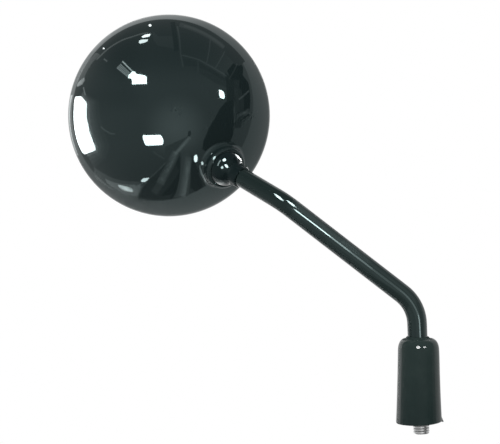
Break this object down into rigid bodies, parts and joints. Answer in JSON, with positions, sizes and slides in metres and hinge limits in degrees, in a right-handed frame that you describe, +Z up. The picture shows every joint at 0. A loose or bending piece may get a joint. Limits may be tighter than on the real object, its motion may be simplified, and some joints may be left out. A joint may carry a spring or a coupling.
{
  "type": "motorcycle mirror",
  "caption": "Round motorcycle mirror: domed gloss black head on a ball joint, bent round stem, rubber boot and threaded stud.",
  "frame": {"origin": "on the stud's axis, where the stud's free thread begins under the lock nut", "axes": "+Z up along the stud and the straight lower end of the stem, -X towards the mirror head, +Y the way the glass faces"},
  "size_m": [0.1902, 0.055, 0.2253],
  "materials": {
    "shell_gloss_black": "polished gloss black moulding",
    "stem_gloss_black": "gloss black paint on steel",
    "mirror_glass": "silvered glass, slightly convex",
    "gasket_rubber": "matte black rubber",
    "boot_rubber": "satin black rubber",
    "joint_nylon": "matte black nylon",
    "zinc_steel": "bright zinc plating"
  },
  "bodies": {
    "stem": {"stem": "stem_gloss_black", "ball_end": "stem_gloss_black", "lock_nut": "zinc_steel"},
    "liner": {"ball_liner": "joint_nylon"},
    "seat": {"ball_seat": "joint_nylon"},
    "head": {"mirror_shell": "shell_gloss_black", "mirror_glass": "mirror_glass", "glass_gasket": "gasket_rubber", "ball_ring": "joint_nylon", "clamp_plate": "zinc_steel", "clamp_screws": "zinc_steel"},
    "boot": {"rubber_boot": "boot_rubber"}
  },
  "joints": [
    {"name": "ball_tilt", "type": "hinge", "parent": "stem", "child": "liner", "pos_m": [-0.0952, 0.02084, 0.12555], "axis": [0.4739, -0.1622, 0.8655], "range_deg": [-2, 42]},
    {"name": "ball_sway", "type": "hinge", "parent": "liner", "child": "seat", "pos_m": [-0.0952, 0.02084, 0.12555], "axis": [-0.73, -0.622, 0.2832], "range_deg": [-12, 12]},
    {"name": "head_spin", "type": "hinge", "parent": "seat", "child": "head", "pos_m": [-0.0952, 0.02084, 0.12555], "axis": [0.4924, -0.766, -0.4132], "continuous": true},
    {"name": "boot_slide", "type": "slide", "parent": "stem", "child": "boot", "axis": [0, 0, 1], "range_m": [0, 0.0065]}
  ]
}
